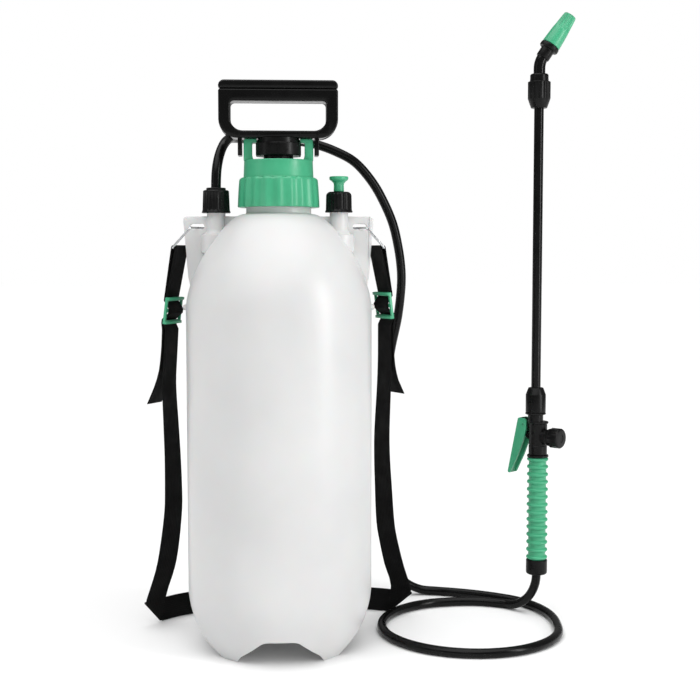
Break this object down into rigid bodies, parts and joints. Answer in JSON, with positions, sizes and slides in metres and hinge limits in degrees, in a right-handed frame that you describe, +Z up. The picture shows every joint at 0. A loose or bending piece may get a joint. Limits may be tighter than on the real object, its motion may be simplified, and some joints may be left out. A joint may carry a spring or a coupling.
{
  "type": "pump sprayer",
  "caption": "Hand pump pressure sprayer: white tank with moulded feet, screw-in pump with D handle, shoulder strap, hose and trigger lance with angled cone nozzle.",
  "frame": {"origin": "centre of the footprint of everything but the free hose, on the floor", "axes": "+Z up, -Y is the front of the tank, +X from the tank towards the lance"},
  "size_m": [0.453, 0.2679, 0.6419],
  "materials": {
    "tank_white": "satin",
    "part_green": "satin",
    "part_black": "gloss",
    "hose_black": "gloss",
    "webbing_black": "woven",
    "seal_rubber": "matt",
    "steel_wire": "satin",
    "valve_white": "satin"
  },
  "bodies": {
    "tank_body": {"tank_base": "tank_white", "tank_wall": "tank_white", "tank_shoulder": "tank_white", "tank_neck": "tank_white", "outlet_seal": "seal_rubber", "dip_tube": "valve_white", "intake_strainer": "valve_white", "relief_seat": "valve_white", "relief_spring": "steel_wire", "hose": "hose_black", "grip_core": "part_black", "grip_sleeve": "part_green", "valve_body": "part_black", "trigger_pin": "steel_wire", "carry_strap": "webbing_black", "strap_ring_left": "steel_wire", "strap_ring_right": "steel_wire", "strap_buckle_left": "part_green", "strap_buckle_right": "part_green"},
    "pump_unit": {"pump_barrel": "part_black", "barrel_foot": "part_black", "foot_valve_disc": "seal_rubber", "rod_guide": "part_black", "cap_seal": "seal_rubber"},
    "pump_cap": {"pump_cap": "part_green"},
    "piston": {"piston_head": "part_black", "piston_cup": "seal_rubber"},
    "handle": {"piston_rod": "steel_wire", "pump_handle": "part_black", "handle_grip": "part_black", "handle_pin": "steel_wire"},
    "outlet_nut": {"outlet_nut": "part_black"},
    "relief_cap": {"relief_cap": "part_black"},
    "relief_knob": {"relief_knob": "part_green", "relief_disc": "seal_rubber"},
    "grip_cap": {"grip_cap": "part_black"},
    "rear_knob": {"rear_knob": "part_black"},
    "trigger": {"trigger": "part_green"},
    "valve_plunger": {"valve_plunger": "steel_wire", "valve_spring": "steel_wire"},
    "lower_nut": {"lower_nut": "part_black"},
    "lance": {"lance_tube": "part_black"},
    "upper_nut": {"upper_nut": "part_black"},
    "elbow": {"elbow": "part_black"},
    "nozzle": {"nozzle": "part_green"}
  },
  "joints": [
    {"name": "pump_lift", "type": "slide", "parent": "tank_body", "child": "pump_unit", "axis": [0, 0, 1], "range_m": [0, 0.36]},
    {"name": "cap_unscrew", "type": "hinge", "parent": "pump_unit", "child": "pump_cap", "pos_m": [-0.08375, -0.0155, 0.45], "axis": [0, 0, 1], "range_deg": [0, 720]},
    {"name": "pump_stroke", "type": "slide", "parent": "pump_unit", "child": "piston", "axis": [0, 0, 1], "range_m": [0, 0.25]},
    {"name": "handle_twist", "type": "hinge", "parent": "piston", "child": "handle", "pos_m": [-0.08375, -0.0155, 0.5], "axis": [0, 0, 1], "range_deg": [0, 90]},
    {"name": "outlet_nut_turn", "type": "hinge", "parent": "tank_body", "child": "outlet_nut", "pos_m": [-0.14475, -0.0155, 0.44], "axis": [0, 0, 1], "range_deg": [0, 720]},
    {"name": "relief_cap_turn", "type": "hinge", "parent": "tank_body", "child": "relief_cap", "pos_m": [-0.02475, -0.0155, 0.44], "axis": [0, 0, 1], "range_deg": [0, 720]},
    {"name": "relief_pull", "type": "slide", "parent": "tank_body", "child": "relief_knob", "axis": [0, 0, 1], "range_m": [0, 0.006], "stiffness_N_per_m": 600, "springref_m": -0.01, "deforming": ["relief_spring"]},
    {"name": "grip_cap_turn", "type": "hinge", "parent": "tank_body", "child": "grip_cap", "pos_m": [0.19225, 0.0645, 0.055], "axis": [0, 0, 1], "range_deg": [0, 720]},
    {"name": "rear_knob_turn", "type": "hinge", "parent": "tank_body", "child": "rear_knob", "pos_m": [0.20639, 0.05036, 0.196], "axis": [0.7071, -0.7071, 0], "range_deg": [0, 360]},
    {"name": "trigger_squeeze", "type": "hinge", "parent": "tank_body", "child": "trigger", "pos_m": [0.18199, 0.07475, 0.208], "axis": [-0.7071, -0.7071, 0], "range_deg": [0, 14], "stiffness_Nm_per_rad": 1, "springref_deg": -11.46},
    {"name": "plunger_push", "type": "slide", "parent": "tank_body", "child": "valve_plunger", "axis": [0.7071, -0.7071, 0], "range_m": [0, 0.0031]},
    {"name": "lower_nut_turn", "type": "hinge", "parent": "tank_body", "child": "lower_nut", "pos_m": [0.18945, 0.0645, 0.235], "axis": [0, 0, 1], "range_deg": [0, 720]},
    {"name": "lance_turn", "type": "hinge", "parent": "tank_body", "child": "lance", "pos_m": [0.18945, 0.0645, 0.4], "axis": [0, 0, 1], "range_deg": [-180, 180]},
    {"name": "upper_nut_turn", "type": "hinge", "parent": "lance", "child": "upper_nut", "pos_m": [0.18945, 0.0645, 0.56], "axis": [0, 0, 1], "range_deg": [0, 720]},
    {"name": "elbow_turn", "type": "hinge", "parent": "lance", "child": "elbow", "pos_m": [0.18945, 0.0645, 0.575], "axis": [0, 0, 1], "range_deg": [-180, 180]},
    {"name": "nozzle_turn", "type": "hinge", "parent": "elbow", "child": "nozzle", "pos_m": [0.20605, 0.0645, 0.61549], "axis": [0.5534, 0, 0.8329], "range_deg": [0, 540]}
  ],
  "couplings": [
    {"joint": "plunger_push", "follows": "trigger_squeeze", "m_per_rad": 0.0125}
  ]
}
